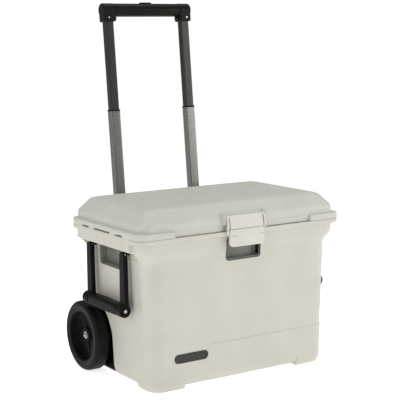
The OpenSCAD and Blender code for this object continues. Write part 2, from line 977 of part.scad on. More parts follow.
module tube_collar(side) {
    in_frame() color(cap_colour) on_mast() difference() {
        leg_box(side * leg_x, low_tube_w + 1.6, low_tube_d + 1.6, low_tube_top, low_tube_top + collar_h);
        leg_box(side * leg_x, up_tube_w + 0.5, up_tube_d + 0.5, low_tube_top - 1, low_tube_top + collar_h + 1);
    }
}

module upper_tube(side) {
    in_frame() color(tube_colour) on_mast()
        leg_tube(side * leg_x, up_tube_w, up_tube_d, tube_t, up_tube_top - up_tube_len, up_tube_top);
}

module left_socket() {
    socket(-1);
}

module right_socket() {
    socket(1);
}

module left_lower_tube() {
    lower_tube(-1);
}

module right_lower_tube() {
    lower_tube(1);
}

module left_tube_collar() {
    tube_collar(-1);
}

module right_tube_collar() {
    tube_collar(1);
}

module left_upper_tube() {
    upper_tube(-1);
}

module right_upper_tube() {
    upper_tube(1);
}

module pull_grip() {
    bar_half = leg_x - cap_w / 2;
    in_frame() color(cap_colour) on_mast() difference() {
        cross_rod(bar_r, -bar_half, bar_half, 0, bar_s);
        cross_rod(bar_r - bar_wall, -bar_half - 1, bar_half + 1, 0, bar_s);
        translate([-button_len / 2, -button_w / 2, bar_s]) cube([button_len, button_w, bar_r + 5]);
    }
}

module end_cap(side) {
    in_frame() color(cap_colour) on_mast() on_side(side) difference() {
        union() {
            cross_rod(bar_r + cap_proud, leg_x - cap_w / 2, leg_x + cap_w / 2, 0, bar_s);
            leg_box(leg_x, cap_w - 1, cap_d, cap_low_s, bar_s);
            translate([leg_x - cap_w / 2 - cap_tab, -7, cap_low_s + 4]) cube([cap_tab + 1, 14, 9]);
        }
        leg_box(leg_x, up_tube_w, up_tube_d, cap_low_s - 1, up_tube_top);
        cap_screw(cap_d / 2 + 1);
    }
}

// A screw through the front of an end cap, up to depth y1 outside the tube's middle
module cap_screw(y1) {
    long_rod(2.5, -y1, -up_tube_d / 2, leg_x + 4, cap_low_s + 11);
}

module left_end_cap() {
    end_cap(-1);
}

module right_end_cap() {
    end_cap(1);
}

module end_cap_screws() {
    in_frame() color(steel_colour) on_mast() both_sides() cap_screw(cap_d / 2 - 0.6);
}

module release_button() {
    in_frame() color(handle_colour) on_mast()
        translate([-button_len / 2 + move_gap, -button_w / 2 + move_gap, bar_s + bar_r - bar_wall - 1])
            cube([button_len - 2 * move_gap, button_w - 2 * move_gap, bar_wall + 1 + button_travel]);
}

// ---------- wheels ----------

// The black lining of a wheel well, which carries the stub axle
module carrier(side) {
    in_frame() color(tyre_colour) on_side(side) difference() {
        intersection() {
            well_half(0);
            body_form(0);
        }
        intersection() {
            well_half(-liner_band_t);
            translate([well_x + carrier_t, 0, -10]) cube([200, 500, 500]);
        }
        axle_rod(axle_r, axle_in, axle_out);
    }
}

// Outline of the tyre: distance from the axle against place across the wheel
function tyre_outline() = [
    [tyre_in_r, -wheel_w / 2 + 3],
    [tyre_in_r + 5, -wheel_w / 2],
    for (a = [-90 : 15 : 0]) [wheel_r - tyre_round + tyre_round * cos(a),
        -wheel_w / 2 + tyre_round + tyre_round * sin(a)],
    for (a = [0 : 15 : 90]) [wheel_r - tyre_round + tyre_round * cos(a),
        wheel_w / 2 - tyre_round + tyre_round * sin(a)],
    [tyre_in_r + 5, wheel_w / 2],
    [tyre_in_r, wheel_w / 2 - 3]
];

// Outline of the hub: a dished disc with a boss round the axle
function hub_outline() = [
    [axle_r + pin_gap, -wheel_w / 2 + 1],
    [hub_r, -wheel_w / 2 + 1],
    [hub_r + 2, -5],
    [tyre_in_r - 8, -5],
    [tyre_in_r - 5, -wheel_w / 2 + 3],
    [tyre_in_r, -wheel_w / 2 + 3],
    [tyre_in_r, wheel_w / 2 - 3],
    [tyre_in_r - 5, wheel_w / 2 - 3],
    [tyre_in_r - 9, 3],
    [hub_r + 4, 0],
    [hub_r, boss_out],
    [axle_r + pin_gap, boss_out]
];

// Puts a wheel outline, which spins about Z, on the axle of one side
module on_axle(side) {
    in_frame() on_side(side)
        translate([wheel_out - wheel_w / 2, axle_y, wheel_r])
            rotate([0, 90, 0]) rotate_extrude() children();
}

module left_tyre() {
    color(tyre_colour) on_axle(-1) polygon(tyre_outline());
}

module right_tyre() {
    color(tyre_colour) on_axle(1) polygon(tyre_outline());
}

module left_hub() {
    color(tyre_colour) on_axle(-1) polygon(hub_outline());
}

module right_hub() {
    color(tyre_colour) on_axle(1) polygon(hub_outline());
}

module stub_axle(side) {
    in_frame() color(steel_colour) on_side(side) axle_rod(axle_r, axle_in, nut_out - nut_t / 2);
}

module axle_cap(side) {
    in_frame() color(steel_colour) on_side(side) difference() {
        axle_rod(axle_r + 4, nut_out - nut_t, nut_out);
        axle_rod(axle_r, axle_in, nut_out - nut_t / 2);
    }
}

module left_carrier() {
    carrier(-1);
}

module right_carrier() {
    carrier(1);
}

module left_axle() {
    stub_axle(-1);
}

module right_axle() {
    stub_axle(1);
}

module left_axle_cap() {
    axle_cap(-1);
}

module right_axle_cap() {
    axle_cap(1);
}

// ---------- drain ----------

module drain_fitting() {
    in_frame() color(cap_colour) difference() {
        union() {
            drain_rod(drain_r + drain_wall, drain_in, drain_out);
            difference() {
                drain_rod(drain_r + drain_wall + 5, drain_out - 17, drain_out - 3);
                body_form(0);
            }
        }
        cavity_form(0, seam_z);
        drain_rod(drain_r, drain_in - 10, drain_out + 50);
    }
}

module drain_cap() {
    in_frame() color(cap_colour) {
        drain_rod(drain_r + drain_wall + 3, drain_out + move_gap, drain_out + 10);
        drain_rod(drain_r - 0.5, drain_out - 8, drain_out + move_gap + 1);
    }
}

outer_shell();
body_foam();
inner_liner();
front_recess();
left_recess();
right_recess();
left_foot();
right_foot();
name_plate();
lid_shell();
lid_foam();
lid_inner_panel();
lid_gasket();
hinge_brackets();
hinge_pins();
latch_link();
latch_lever();
latch_top_pin();
latch_middle_pin();
latch_mount();
left_pivot_lugs();
left_pivot_pins();
left_front_arm();
left_rear_arm();
left_grip();
left_grip_screws();
right_pivot_lugs();
right_pivot_pins();
right_front_arm();
right_rear_arm();
right_grip();
right_grip_screws();
mast_housing();
left_socket();
right_socket();
left_lower_tube();
right_lower_tube();
left_tube_collar();
right_tube_collar();
left_upper_tube();
right_upper_tube();
pull_grip();
left_end_cap();
right_end_cap();
end_cap_screws();
release_button();
left_carrier();
left_axle();
left_tyre();
left_hub();
left_axle_cap();
right_carrier();
right_axle();
right_tyre();
right_hub();
right_axle_cap();
drain_fitting();
drain_cap();
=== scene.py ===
import math

import bmesh
import bpy
from mathutils import Matrix, Vector


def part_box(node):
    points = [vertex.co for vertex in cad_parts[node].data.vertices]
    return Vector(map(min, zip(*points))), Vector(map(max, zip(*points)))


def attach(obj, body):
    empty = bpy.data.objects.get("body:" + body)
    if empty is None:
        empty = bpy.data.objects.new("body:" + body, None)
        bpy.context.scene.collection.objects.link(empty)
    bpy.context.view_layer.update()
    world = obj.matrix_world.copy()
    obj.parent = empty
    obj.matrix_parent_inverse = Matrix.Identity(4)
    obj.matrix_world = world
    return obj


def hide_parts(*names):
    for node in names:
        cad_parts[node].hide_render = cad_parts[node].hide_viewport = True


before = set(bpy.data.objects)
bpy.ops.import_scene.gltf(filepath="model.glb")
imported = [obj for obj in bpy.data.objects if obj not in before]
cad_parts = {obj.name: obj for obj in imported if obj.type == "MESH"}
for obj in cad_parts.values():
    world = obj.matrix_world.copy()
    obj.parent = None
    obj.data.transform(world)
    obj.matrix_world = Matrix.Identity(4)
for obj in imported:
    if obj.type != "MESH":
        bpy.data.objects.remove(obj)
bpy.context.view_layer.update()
scene = bpy.context.scene

# Shapes are drawn in millimetres about the middle of the cooler's body, as the CAD draws them.
MM = 0.001
FLANGE_AHEAD = 8
shell_low, shell_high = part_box("outer_shell")
MIDDLE_Y = (shell_low[1] + shell_high[1] + FLANGE_AHEAD * MM) / 2

LEAN = math.radians(5.4)
MAST_Y = 215
LEG_X = 126
BAR_S = 985
WHEEL_R = 96
WHEEL_Y = 131
WELL_R = 104
GRIP_X = 314
GRIP_Z = 211


# ---------- shapes ----------

def solid(name, points, faces):
    """A closed mesh from points in millimetres about the body's middle."""
    mesh = bpy.data.meshes.new(name)
    mesh.from_pydata([(x * MM, y * MM + MIDDLE_Y, z * MM) for x, y, z in points], [], faces)
    work = bmesh.new()
    work.from_mesh(mesh)
    bmesh.ops.remove_doubles(work, verts=work.verts, dist=0.002 * MM)
    bmesh.ops.recalc_face_normals(work, faces=work.faces)
    work.to_mesh(mesh)
    work.free()
    made = bpy.data.objects.new(name, mesh)
    scene.collection.objects.link(made)
    return made


def settle(made):
    """Turns an object's modifiers into plain mesh."""
    bpy.context.view_layer.update()
    graph = bpy.context.evaluated_depsgraph_get()
    mesh = bpy.data.meshes.new_from_object(made.evaluated_get(graph))
    made.modifiers.clear()
    made.data = mesh
    return made


def combine(made, others, operation="DIFFERENCE"):
    for other in others:
        tool = made.modifiers.new("combine", "BOOLEAN")
        tool.operation = operation
        tool.solver = "EXACT"
        tool.object = other
        settle(made)
        bpy.data.objects.remove(other)
    return made


def round_edges(made, width, segments=3, angle=35):
    tool = made.modifiers.new("round", "BEVEL")
    tool.width = width * MM
    tool.segments = segments
    tool.limit_method = "ANGLE"
    tool.angle_limit = math.radians(angle)
    tool.miter_outer = "MITER_ARC"
    return settle(made)


def shade(made, angle=38):
    """Smooth shading that keeps flat faces flat and crisp edges crisp."""
    mesh = made.data
    for face in mesh.polygons:
        face.use_smooth = True
    mesh.set_sharp_from_angle(angle=math.radians(angle))
    tool = made.modifiers.new("normals", "WEIGHTED_NORMAL")
    tool.keep_sharp = True
    return settle(made)


def corner_ring(half, front, back, radius, height, steps=12):
    """A rectangle with round corners at one height."""
    points = []
    for x, y, start in ((half - radius, back - radius, 0), (-half + radius, back - radius, 90),
                        (-half + radius, front + radius, 180), (half - radius, front + radius, 270)):
        for k in range(steps + 1):
            a = math.radians(start + 90 * k / steps)
            points.append((x + radius * math.cos(a), y + radius * math.sin(a), height))
    return points


def beside(x, ring):
    """A ring moved along X."""
    return [(px + x, py, pz) for px, py, pz in ring]


def soften(stations, steps=5):
    """Rounds the bends of a path of stations. Each ends with how far its rounding reaches."""
    path = [stations[0][:-1]]
    for before, here, after in zip(stations, stations[1:], stations[2:]):
        reach = here[-1]
        here, before, after = here[:-1], before[:-1], after[:-1]
        if not reach:
            path.append(here)
            continue
        ends = []
        for other in (before, after):
            gap = math.hypot(other[0] - here[0], other[-1] - here[-1])
            share = min(reach / gap, 0.48)
            ends.append([h + (o - h) * share for h, o in zip(here, other)])
        for k in range(steps + 1):
            t = k / steps
            path.append(tuple((1 - t) ** 2 * a + 2 * t * (1 - t) * h + t * t * b
                              for a, h, b in zip(ends[0], here, ends[1])))
    path.append(stations[-1][:-1])
    return path


def loft(name, rings):
    """Skins rings of the same length and closes both ends."""
    n = len(rings[0])
    points = [p for ring in rings for p in ring]
    faces = [tuple(reversed(range(n))), tuple(range(len(points) - n, len(points)))]
    for k in range(len(rings) - 1):
        for i in range(n):
            j = (i + 1) % n
            faces.append((k * n + i, k * n + j, (k + 1) * n + j, (k + 1) * n + i))
    return solid(name, points, faces)


def body_loft(name, stations, steps=12):
    return loft(name, [corner_ring(*s, steps=steps) for s in soften(stations)])


def prism(name, outline, low, high, place):
    """An outline pushed from low to high. place(a, b, h) gives the point for each corner."""
    n = len(outline)
    points = [place(a, b, low) for a, b in outline] + [place(a, b, high) for a, b in outline]
    faces = [tuple(reversed(range(n))), tuple(range(n, 2 * n))]
    faces += [(i, (i + 1) % n, n + (i + 1) % n, n + i) for i in range(n)]
    return solid(name, points, faces)


def across(a, b, h):
    """Outline in the YZ plane, pushed along X."""
    return (h, a, b)


def along(a, b, h):
    """Outline in the XZ plane, pushed along Y."""
    return (a, h, b)


def upward(a, b, h):
    """Outline in the XY plane, pushed along Z."""
    return (a, b, h)


def box(name, x0, x1, y0, y1, z0, z1):
    return prism(name, [(x0, y0), (x1, y0), (x1, y1), (x0, y1)], z0, z1, upward)


def round_outline(x0, x1, y0, y1, radius, steps=8):
    return [(x, y) for x, y, _ in
            [(p[0] + (x0 + x1) / 2, p[1], 0) for p in corner_ring((x1 - x0) / 2, y0, y1, radius, 0, steps)]]


def turned(name, profile, centre, sides=96, axis="x"):
    """A closed profile of (radius, place along the axis) turned round an axis."""
    points, faces, n = [], [], len(profile)
    for k in range(sides):
        a = 2 * math.pi * k / sides
        for r, h in profile:
            if axis == "x":
                points.append((centre[0] + h, centre[1] + r * math.cos(a), centre[2] + r * math.sin(a)))
            else:
                points.append((centre[0] + r * math.cos(a), centre[1] + h, centre[2] + r * math.sin(a)))
    for k in range(sides):
        m = (k + 1) % sides
        for i in range(n):
            j = (i + 1) % n
            faces.append((k * n + i, k * n + j, m * n + j, m * n + i))
    return solid(name, points, faces)


def rod(name, radius, ends, centre, axis="x", sides=64, edge=0.0):
    """A round rod with rounded rims, as a lathe would leave it."""
    low, high = ends
    tiny = 0.01
    profile = [(tiny, low), (radius - edge, low)]
    if edge:
        profile += [(radius - edge + edge * math.sin(t), low + edge - edge * math.cos(t))
                    for t in (math.pi / 8, math.pi / 4, 3 * math.pi / 8)]
        profile += [(radius, low + edge), (radius, high - edge)]
        profile += [(radius - edge + edge * math.cos(t), high - edge + edge * math.sin(t))
                    for t in (math.pi / 8, math.pi / 4, 3 * math.pi / 8)]
    else:
        profile += [(radius, high)]
    profile += [(radius - edge, high), (tiny, high)]
    return turned(name, profile, centre, sides, axis)


def on_mast(made):
    """Leans an object that was drawn upright about the body's middle onto the pull handle's line."""
    foot = Vector((0, MIDDLE_Y, 0))
    turn = Matrix.Rotation(-LEAN, 4, "X")
    out = Matrix.Translation(foot + Vector((0, MAST_Y * MM, 0)))
    made.data.transform(out @ turn @ Matrix.Translation(-foot))
    return made


def mirrored(made, name, plane="x"):
    """A copy on the other side of the body's middle."""
    mesh = made.data.copy()
    other = bpy.data.objects.new(name, mesh)
    scene.collection.objects.link(other)
    shift = Vector((0, MIDDLE_Y, 0))
    flip = Matrix.Diagonal((-1, 1, 1, 1)) if plane == "x" else Matrix.Diagonal((1, -1, 1, 1))
    mesh.transform(Matrix.Translation(shift) @ flip @ Matrix.Translation(-shift))
    mesh.flip_normals()
    return other


def fit(made, material, body, slot, *nodes):
    """Gives a piece its material, the body that it moves with and the CAD nodes that it stands for."""
    made.data.materials.clear()
    made.data.materials.append(material)
    shade(made)
    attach(made, body)
    if nodes:
        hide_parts(*nodes)
    return made


# ---------- materials ----------

def linear(colour):
    """An sRGB hex colour as linear light."""
    parts = [int(colour[i:i + 2], 16) / 255 for i in (1, 3, 5)]
    return tuple(c / 12.92 if c <= 0.04045 else ((c + 0.055) / 1.055) ** 2.4 for c in parts) + (1.0,)


def add(tree, kind, settings, links=()):
    """Adds one node. A setting is an input's name or a property; a link is (input, output socket)."""
    made = tree.nodes.new(kind)
    for key, value in settings.items():
        if hasattr(made, key) and key not in made.inputs:
            setattr(made, key, value)
        else:
            made.inputs[key].default_value = value
    for key, source in links:
        tree.links.new(source, made.inputs[key])
    return made


def blank(name):
    material = bpy.data.materials.new(name)
    material.use_nodes = True
    tree = material.node_tree
    return material, tree, tree.nodes["Principled BSDF"]


def per(size_mm):
    """Noise scale for a pattern of that size."""
    return 1 / (size_mm * MM)


def moulded(name, tone, second_tone, roughness, ior=1.5, grit_mm=1.6, grit_depth_mm=0.03, mottle_mm=90,
            rough_spread=0.08, gleam=0.5):
    """Injection-moulded plastic: two close tones in broad clouds, a spark-eroded grit and an uneven gloss."""
    material, tree, skin = blank(name)
    place = add(tree, "ShaderNodeTexCoord", {}).outputs["Object"]
    clouds = add(tree, "ShaderNodeTexNoise", {"Scale": per(mottle_mm), "Detail": 3.0, "Roughness": 0.5},
                 [("Vector", place)])
    spread = add(tree, "ShaderNodeMapRange", {"From Min": 0.3, "From Max": 0.7, "To Min": 0.0, "To Max": 1.0},
                 [("Value", clouds.outputs["Fac"])])
    tones = add(tree, "ShaderNodeMix", {"data_type": "RGBA"}, [("Factor", spread.outputs["Result"])])
    tones.inputs[6].default_value = linear(tone)
    tones.inputs[7].default_value = linear(second_tone)
    tree.links.new(tones.outputs[2], skin.inputs["Base Color"])
    grit = add(tree, "ShaderNodeTexNoise", {"Scale": per(grit_mm), "Detail": 2.0, "Roughness": 0.6},
               [("Vector", place)])
    bump = add(tree, "ShaderNodeBump", {"Strength": 0.6, "Distance": grit_depth_mm * MM},
               [("Height", grit.outputs["Fac"])])
    tree.links.new(bump.outputs["Normal"], skin.inputs["Normal"])
    polish = add(tree, "ShaderNodeTexNoise", {"Scale": per(mottle_mm / 4), "Detail": 4.0, "Roughness": 0.6},
                 [("Vector", place)])
    gloss = add(tree, "ShaderNodeMapRange",
                {"From Min": 0.3, "From Max": 0.7, "To Min": roughness - rough_spread / 2,
                 "To Max": roughness + rough_spread / 2},
                [("Value", polish.outputs["Fac"])])
    tree.links.new(gloss.outputs["Result"], skin.inputs["Roughness"])
    skin.inputs["IOR"].default_value = ior
    skin.inputs["Specular IOR Level"].default_value = gleam
    return material


def drawn_metal(name, tone, second_tone, roughness, grain, lean=0.0, rough_spread=0.12):
    """Metal with fine lines left by drawing or turning. grain is the size of the lines along X, Y and Z."""
    material, tree, skin = blank(name)
    place = add(tree, "ShaderNodeTexCoord", {}).outputs["Object"]
    lines = add(tree, "ShaderNodeMapping", {"Rotation": (lean, 0, 0), "Scale": tuple(per(g) for g in grain)},
                [("Vector", place)])
    streaks = add(tree, "ShaderNodeTexNoise", {"Scale": 1.0, "Detail": 4.0, "Roughness": 0.6},
                  [("Vector", lines.outputs["Vector"])])
    spread = add(tree, "ShaderNodeMapRange", {"From Min": 0.3, "From Max": 0.7, "To Min": 0.0, "To Max": 1.0},
                 [("Value", streaks.outputs["Fac"])])
    tones = add(tree, "ShaderNodeMix", {"data_type": "RGBA"}, [("Factor", spread.outputs["Result"])])
    tones.inputs[6].default_value = linear(tone)
    tones.inputs[7].default_value = linear(second_tone)
    tree.links.new(tones.outputs[2], skin.inputs["Base Color"])
    gloss = add(tree, "ShaderNodeMapRange",
                {"From Min": 0.3, "From Max": 0.7, "To Min": roughness - rough_spread / 2,
                 "To Max": roughness + rough_spread / 2},
                [("Value", streaks.outputs["Fac"])])
    tree.links.new(gloss.outputs["Result"], skin.inputs["Roughness"])
    bump = add(tree, "ShaderNodeBump", {"Strength": 0.25, "Distance": 0.02 * MM},
               [("Height", streaks.outputs["Fac"])])
    tree.links.new(bump.outputs["Normal"], skin.inputs["Normal"])
    skin.inputs["Metallic"].default_value = 1.0
    return material


# Body skin: injection-moulded HDPE, warm off-white, satin from a finely eroded mould.
body_hdpe = moulded("moulded_hdpe_warm_white", "#d9d7cc", "#d3d1c5", 0.46, ior=1.54)
# Lid skin: the same HDPE from another mould, a touch cooler.
lid_hdpe = moulded("moulded_hdpe_lid_white", "#d6d6cd", "#cfd0c7", 0.44, ior=1.54)
# Latch: polished-mould polypropylene, brighter and glossier than the body.
latch_pp = moulded("moulded_pp_latch_white", "#e5e3d9", "#e0ded4", 0.36, ior=1.49, grit_depth_mm=0.015)
# Recess linings: grey-green polypropylene, plain satin.
lining_pp = moulded("moulded_pp_lining_grey", "#83887f", "#797e75", 0.42, ior=1.49, mottle_mm=40)
# Painted shade: the lining's polypropylene in near black, laid on the rebate round each lining and on the
# front tray's left-facing cheek, where shade falls.
painted_shade_pp = moulded("painted_shade_pp_black", "#20211e", "#191a17", 0.5, ior=1.49, mottle_mm=40, gleam=0.25)
# Food-grade liner: glossy white polystyrene, vacuum formed.
liner_hips = moulded("formed_hips_liner_white", "#e6e6e2", "#dfdfdb", 0.22, ior=1.59, grit_depth_mm=0.008)
# Carry handles: glass-filled nylon, near black with a brown cast, fine dull texture.
handle_nylon = moulded("glass_filled_nylon_black", "#15110f", "#100d0b", 0.5, ior=1.53, grit_mm=1.2,
                       mottle_mm=30, gleam=0.12)
# Pull grip and end caps: ABS in charcoal, satin.
grip_abs = moulded("moulded_abs_charcoal", "#1c1d1a", "#171815", 0.34, ior=1.54, grit_mm=1.4, mottle_mm=35,
                   gleam=0.09)
# Tyres: blow-moulded hard polyethylene, black and slightly waxy.
tyre_pe = moulded("blow_moulded_pe_tyre_black", "#0e0e0d", "#090908", 0.46, ior=1.54, grit_mm=2.0,
                  grit_depth_mm=0.05, mottle_mm=35, rough_spread=0.12, gleam=0.16)
# Hubs and well linings: polypropylene, black satin.
hub_pp = moulded("moulded_pp_hub_black", "#070706", "#040404", 0.42, ior=1.49, grit_mm=1.4, mottle_mm=30,
                 gleam=0.06)
# Seal: extruded EPDM, mid grey and dull.
seal_epdm = moulded("extruded_epdm_grey", "#8a8c89", "#7f817e", 0.75, ior=1.52, mottle_mm=20)
# Insulation: blown polyurethane foam, cream, open cells of about a millimetre.
pu_foam = moulded("blown_pu_foam_cream", "#efe3b0", "#e2d39a", 0.9, ior=1.45, grit_mm=1.2, grit_depth_mm=0.4,
                  mottle_mm=25)
# Blank plate: in-mould decorated polycarbonate, near black.
plate_pc = moulded("printed_pc_plate_black", "#161616", "#111111", 0.28, ior=1.58, grit_mm=1.0, mottle_mm=15)
# Lower tubes: drawn aluminium, anodised, with fine lines along the tube; grey and lighter than the upper
# tubes as painted reflection, the lit copy of one finish.
tube_lit_copy = drawn_metal("anodised_aluminium_lit_copy", "#7c7d78", "#71726d", 0.28, (0.9, 0.9, 260), lean=LEAN)
# Upper tubes: the same drawn aluminium and anodising, darker as painted shade, the shaded copy of that
# finish.
tube_shaded_copy = drawn_metal("anodised_aluminium_shaded_copy", "#41423e", "#383935", 0.32, (0.9, 0.9, 260), lean=LEAN)
# Pins and screws: zinc-plated steel, bright with a turned grain.
pin_zinc = drawn_metal("zinc_plated_steel", "#c9c9c4", "#aeaea8", 0.3, (40, 0.8, 0.8))


# ---------- body ----------

STEP_PROUD = 1.5
STEP_START = -104
STEP_TOP = 108
GROUND_GAP = 8
BOTTOM_ROUND = 40
WALL_TOP = 345


def step_ring(half, front, back, radius, proud, height, steps=12):
    """A body ring whose lower panel stands proud from a line on the front round to the right end."""
    ring = corner_ring(half, front, back, radius, height, steps)
    n = steps + 1
    out = []
    for k, (x, y, z) in enumerate(ring):
        corner, i = divmod(k, n)
        a = math.radians(corner * 90 + 90 * i / steps)
        push = proud * STEP_PROUD * (1 if x > STEP_START else 0)
        out.append((x + push * math.cos(a), y + push * math.sin(a), z))
    # the front straight runs from the last corner's start back to the third corner's end
    extra = []
    third_end = 3 * n
    for x in (STEP_START - 6, STEP_START + 6):
        push = proud * STEP_PROUD if x > STEP_START else 0
        extra.append((x, front - push, height))
    return out[:third_end] + extra + out[third_end:]


def make_body():
    bottom = []
    for k in range(9):
        t = math.pi / 2 * k / 8
        grow = math.sin(t)
        bottom.append((268 + 12 * grow, -167 - 12 * grow, 167 + 12 * grow, 36 + 10 * grow, 1.0,
                       GROUND_GAP + BOTTOM_ROUND * (1 - math.cos(t)), 0))
    wall_start = GROUND_GAP + BOTTOM_ROUND
    share = (STEP_TOP - wall_start) / (WALL_TOP - wall_start)
    at_line = 280 + 11 * share
    deep = 179 + 4 * share
    stations = bottom + [
        (at_line, -deep, deep, 46, 1.0, 107.4, 0),
        (at_line, -deep, deep, 46, 0.7, 108.3, 0),
        (at_line, -deep, deep, 46, 0.0, 108.5, 0),
        (291, -183, 183, 46, 0.0, WALL_TOP, 11),
        (309, -187, 187, 34, 0.0, 366, 9),
        (309, -187, 187, 34, 0.0, 392, 2),
        (322, -195, 187, 30, 0.0, 392, 2.5),
        (322, -195, 187, 30, 0.0, 403.4, 2.4),
        (305.8, -183.8, 183.8, 30.8, 0.0, 403.4, 0),
        (305.8, -183.8, 183.8, 30.8, 0.0, 397.5, 0),
        (287.5, -179.5, 179.5, 42.5, 0.0, 397.5, 0),
        (287.5, -179.5, 179.5, 42.5, 0.0, WALL_TOP, 0),
        (276.5, -175.5, 175.5, 42.5, 0.0, 54, 0),
        (264, -163, 163, 32, 0.0, 13, 0),
    ]
    body = loft("body_shell", [step_ring(*s) for s in soften(stations)])
    combine(body, [box("relief", *sorted((side * 291, side * 330)), -142, 142, 343, 367)
                   for side in (-1, 1)])
    for side in (-1, 1):
        outline = [(288, 398), (321.9, 398), (321.9, 371), (318, 368), (307, 365.5), (288, 365.5)]
        ear = prism("ear", [(side * x, z) for x, z in outline], -142, 142, along)
        round_edges(ear, 1.4, 3, 30)
        combine(body, [ear], "UNION")
        combine(body, [box("lip", *sorted((side * 306.5, side * 321.7)), -141, 141, 400, 403.85)], "UNION")
    cutters = []
    for side in (-1, 1):
        x0, x1 = sorted((side * 267, side * 400))
        well = [(WHEEL_Y + WELL_R * math.cos(math.radians(a)), WHEEL_R + WELL_R * math.sin(math.radians(a)))
                for a in range(0, 181, 5)]
        well += [(27, -30), (235, -30)]
        cutters.append(prism("well", well, x0, x1, across))
        x0, x1 = sorted((side * 267.3, side * 340))
        cutters.append(prism("hold", round_outline(-76, 76, 305, 362, 9), x0, x1, across))
    cutters.append(prism("hold", round_outline(-56, 56, 324, 386, 9), -260, -163, along))
    cutters.append(rod("drain_hole", 12, (200, 400), (0, -40, 62)))
    combine(body, cutters)
    return body


body_shell = fit(make_body(), body_hdpe, "base", "shell", "outer_shell")


def make_foot(name, side):
    """A corner of the body's own outline that runs down to the ground."""
    stations = [(280 - inset, -179 + inset, 179 - inset, 46 - inset, 1.0, z, bend) for inset, z, bend in (
        (10, 0, 0), (7.5, 0, 2.5), (2.5, 8, 5), (0.8, 18, 6), (0.3, 32, 4), (0.25, 46, 0))]
    foot = loft(name, [step_ring(*s) for s in soften(stations)])
    x0, x1 = sorted((side * 181, side * 300))
    block = prism("block", round_outline(x0, x1, -215, -95, 7), -5, 60, upward)
    combine(foot, [block], "INTERSECT")
    return round_edges(foot, 1.6, 3, 50)


for side, label in ((-1, "left"), (1, "right")):
    fit(make_foot(label + "_foot_block", side), body_hdpe, "base", "shell", label + "_foot")


# ---------- recess linings ----------

REBATE = 3.2
LIP = 1.6


def make_lining(name, low, high, floor, ceiling, mouth, back, place):
    """A tray with a raised lip inside a rebate, which is the outer part of its mouth; the rebate later gets
    painted shade.
    """
    out = 1 if mouth > back else -1

    def block(label, inset, radius, start, end):
        return prism(label, round_outline(low + inset, high - inset, floor + inset, ceiling - inset, radius),
                     start, end, place)
    tray = block(name, 0, 9, back, mouth - out * 3.6)
    combine(tray, [block("lip", REBATE, 6.5, back + out, mouth - out * 0.8)], "UNION")
    combine(tray, [block("pocket", REBATE + LIP, 5, back + out * 2.4, mouth + out * 40)])
    return round_edges(tray, 0.6, 2)


def paint_rebate_and_cheek_shade(tray, material, low, high, floor, ceiling, across_x):
    """Paints shade: gives the near-black material to the faces outside the lip, in the rebate's gap, and on
    the front tray to the cheek that faces away from the light.
    """
    tray.data.materials.append(material)
    corners = tray.data.vertices
    for face in tray.data.polygons:
        reach = 0
        for k in face.vertices:
            x, y, z = corners[k].co / MM
            a = y - MIDDLE_Y / MM if across_x else x
            reach = max(reach, min(a - low, high - a, z - floor, ceiling - z))
        # Painted shade: faces in the rebate and the front tray's left-facing cheek take the near-black
        # material.
        shaded_cheek = not across_x and face.normal.x < -0.8
        if reach < REBATE + 0.2 or shaded_cheek:
            face.material_index = 1


spans = [("front_finger_tray", "front_recess", (-55.7, 55.7, 324.3, 385.7), -181.6, -163.2, along)]
for side, label in ((-1, "left"), (1, "right")):
    spans.append((label + "_hand_tray", label + "_recess", (-75.7, 75.7, 305.3, 361.7),
                  side * 288.5, side * 267.5, across))
for name, node, span, mouth, back, place in spans:
    tray = fit(make_lining(name, *span, mouth, back, place), lining_pp, "base", "recess_grey", node)
    # The near-black material here is painted shade on the rebate and on the front tray's shaded cheek.
    paint_rebate_and_cheek_shade(tray, painted_shade_pp, *span, place is across)


# ---------- lid ----------

def make_lid():
    stations = [
        (266, -150, 150, 24, 472.8, 0),
        (275, -159, 159, 28, 469, 0),
        (306, -184, 184, 31, 438.5, 0),
        (306, -184, 184, 31, 404, 0),
        (322, -195, 187, 30, 404, 0.5),
        (322, -195, 187, 30, 420, 2.6),
        (309, -187, 187, 34, 420, 2.2),
        (309, -187, 187, 34, 440, 6),
        (279, -163, 163, 25, 471.5, 5),
        (262, -146, 146, 19, 476, 5),
        (250, -134, 134, 16, 476, 0),
    ]
    lid = body_loft("lid_skin", stations)
    cutters = [box("groove", -215, 215, -260, -188, 403, 420.6),
               box("joint", -215, 215, -260, -184.8, 403, 405.4)]
    cutters += [box("pocket", *sorted((s * 56.5, s * 67)), -260, -184.8, 403, 417.5) for s in (-1, 1)]
    for side in (-1, 1):
        x0, x1 = sorted((side * 307.5, side * 340))
        for y0, y1 in ((-110, -73), (-44, 44), (73, 110)):
            cutters.append(prism("slot", round_outline(y0, y1, 400, 409.2, 1.6, 4), x0, x1, across))
    combine(lid, cutters)
    for side in (-1, 1):
        knuckle = prism("knuckle", [(186, 418), (186, 431), (196, 432), (202, 429), (203, 425), (202, 420),
                                    (196, 418)], *sorted((side * 178.4, side * 201.6)), across)
        round_edges(knuckle, 1.2)
        combine(lid, [knuckle], "UNION")
    return lid


fit(make_lid(), lid_hdpe, "lid", "lid_skin", "lid_shell")


def make_food_liner():
    """An open tub with a flange that lies on the body's rim."""
    inside = soften([
        (305.6, -183.6, 183.6, 30.6, 398, 0), (305.6, -183.6, 183.6, 30.6, 403.3, 1.2),
        (259, -151, 151, 24, 403.3, 4), (251, -143, 143, 24, 62, 14), (233, -125, 125, 18, 46, 8),
        (180, -72, 72, 14, 46, 0)])
    outside = [(261.5, -153.5, 153.5, 26, 398), (253.5, -145.5, 145.5, 26, 60), (233, -125, 125, 18, 43.5),
               (180, -72, 72, 14, 43.5)]
    liner = loft("food_liner", [corner_ring(*s) for s in inside[::-1] + outside])
    return combine(liner, [rod("drain_hole", 12, (200, 400), (0, -40, 62))])


fit(make_food_liner(), liner_hips, "base", "liner", "inner_liner")


